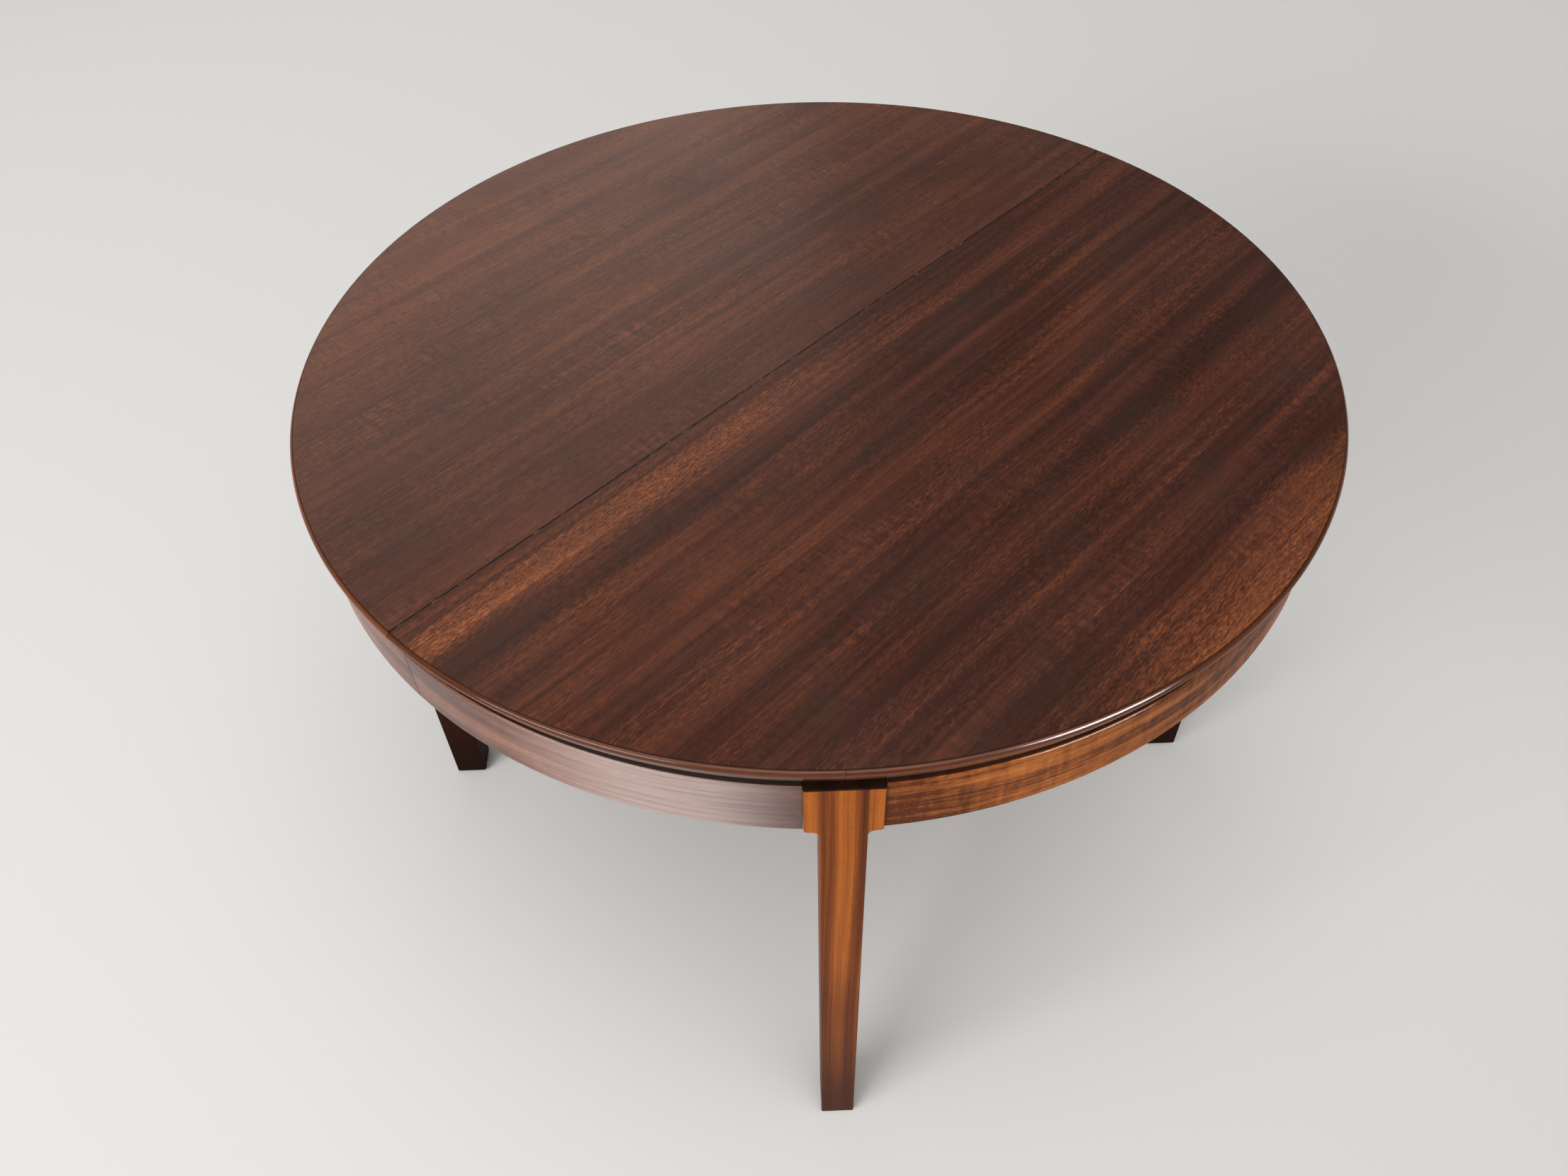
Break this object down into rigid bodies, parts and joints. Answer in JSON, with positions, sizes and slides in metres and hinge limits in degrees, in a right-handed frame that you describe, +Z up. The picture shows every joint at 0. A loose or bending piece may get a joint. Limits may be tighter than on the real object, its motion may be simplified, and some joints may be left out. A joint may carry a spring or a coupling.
{
  "type": "round extending dining table",
  "caption": "Round wooden dining table on four legs, whose top splits on a central seam and pulls apart on runners for leaves.",
  "frame": {"origin": "on the floor under the centre of the closed top", "axes": "+Z up; +Y along the seam of the top; +X is the way the near half pulls out"},
  "size_m": [1.06, 1.06, 0.73],
  "materials": {
    "top_veneer": "satin-gloss lacquered rosewood veneer",
    "lipping": "satin-gloss solid rosewood",
    "apron": "satin rosewood veneer on bent laminate",
    "leg": "satin solid rosewood",
    "core": "raw board",
    "beech": "waxed beech",
    "dark_stain": "black-brown stained",
    "steel": "zinc-plated",
    "brass": "turned brass",
    "nylon": "moulded nylon"
  },
  "bodies": {
    "far_half": {"top_veneer_far": "top_veneer", "top_core_far": "core", "backing_veneer_far": "core", "lipping_far_1": "lipping", "lipping_far_2": "lipping", "lipping_far_3": "lipping", "apron_far_1": "apron", "apron_far_2": "apron", "apron_far_3": "apron", "spacer_ring_far": "dark_stain", "cross_rail_far": "beech", "runner_far_inner": "beech", "runner_far_outer": "beech", "leg_far_1": "leg", "corner_block_far_1": "beech", "leg_bolt_far_1": "steel", "glide_far_1": "nylon", "leg_far_2": "leg", "corner_block_far_2": "beech", "leg_bolt_far_2": "steel", "glide_far_2": "nylon", "catch_pivot_1": "brass", "catch_pivot_2": "brass"},
    "near_half": {"top_veneer_near": "top_veneer", "top_core_near": "core", "backing_veneer_near": "core", "lipping_near_1": "lipping", "lipping_near_2": "lipping", "lipping_near_3": "lipping", "apron_near_1": "apron", "apron_near_2": "apron", "apron_near_3": "apron", "spacer_ring_near": "dark_stain", "cross_rail_near": "beech", "runner_near_inner": "beech", "runner_near_outer": "beech", "leg_near_1": "leg", "corner_block_near_1": "beech", "leg_bolt_near_1": "steel", "glide_near_1": "nylon", "leg_near_2": "leg", "corner_block_near_2": "beech", "leg_bolt_near_2": "steel", "glide_near_2": "nylon", "seam_dowel_1": "beech", "seam_dowel_2": "beech", "seam_dowel_3": "beech", "catch_stud_1": "brass", "catch_stud_2": "brass"},
    "middle_runner_1": {"middle_runner_1": "beech"},
    "middle_runner_2": {"middle_runner_2": "beech"},
    "catch_1": {"catch_arm_1": "brass"},
    "catch_2": {"catch_arm_2": "brass"}
  },
  "joints": [
    {"name": "halves_slide", "type": "slide", "parent": "far_half", "child": "near_half", "axis": [1, 0, 0], "range_m": [0, 1.02]},
    {"name": "middle_runner_1_slide", "type": "slide", "parent": "far_half", "child": "middle_runner_1", "axis": [1, 0, 0], "range_m": [0, 0.51]},
    {"name": "middle_runner_2_slide", "type": "slide", "parent": "far_half", "child": "middle_runner_2", "axis": [1, 0, 0], "range_m": [0, 0.51]},
    {"name": "catch_1_swing", "type": "hinge", "parent": "far_half", "child": "catch_1", "pos_m": [-0.03, -0.32, 0.708], "axis": [0, 0, 1], "range_deg": [0, 90]},
    {"name": "catch_2_swing", "type": "hinge", "parent": "far_half", "child": "catch_2", "pos_m": [-0.03, 0.32, 0.708], "axis": [0, 0, 1], "range_deg": [-90, 0]}
  ],
  "couplings": [
    {"joint": "middle_runner_1_slide", "follows": "halves_slide", "ratio": 0.5},
    {"joint": "middle_runner_2_slide", "follows": "halves_slide", "ratio": 0.5}
  ]
}
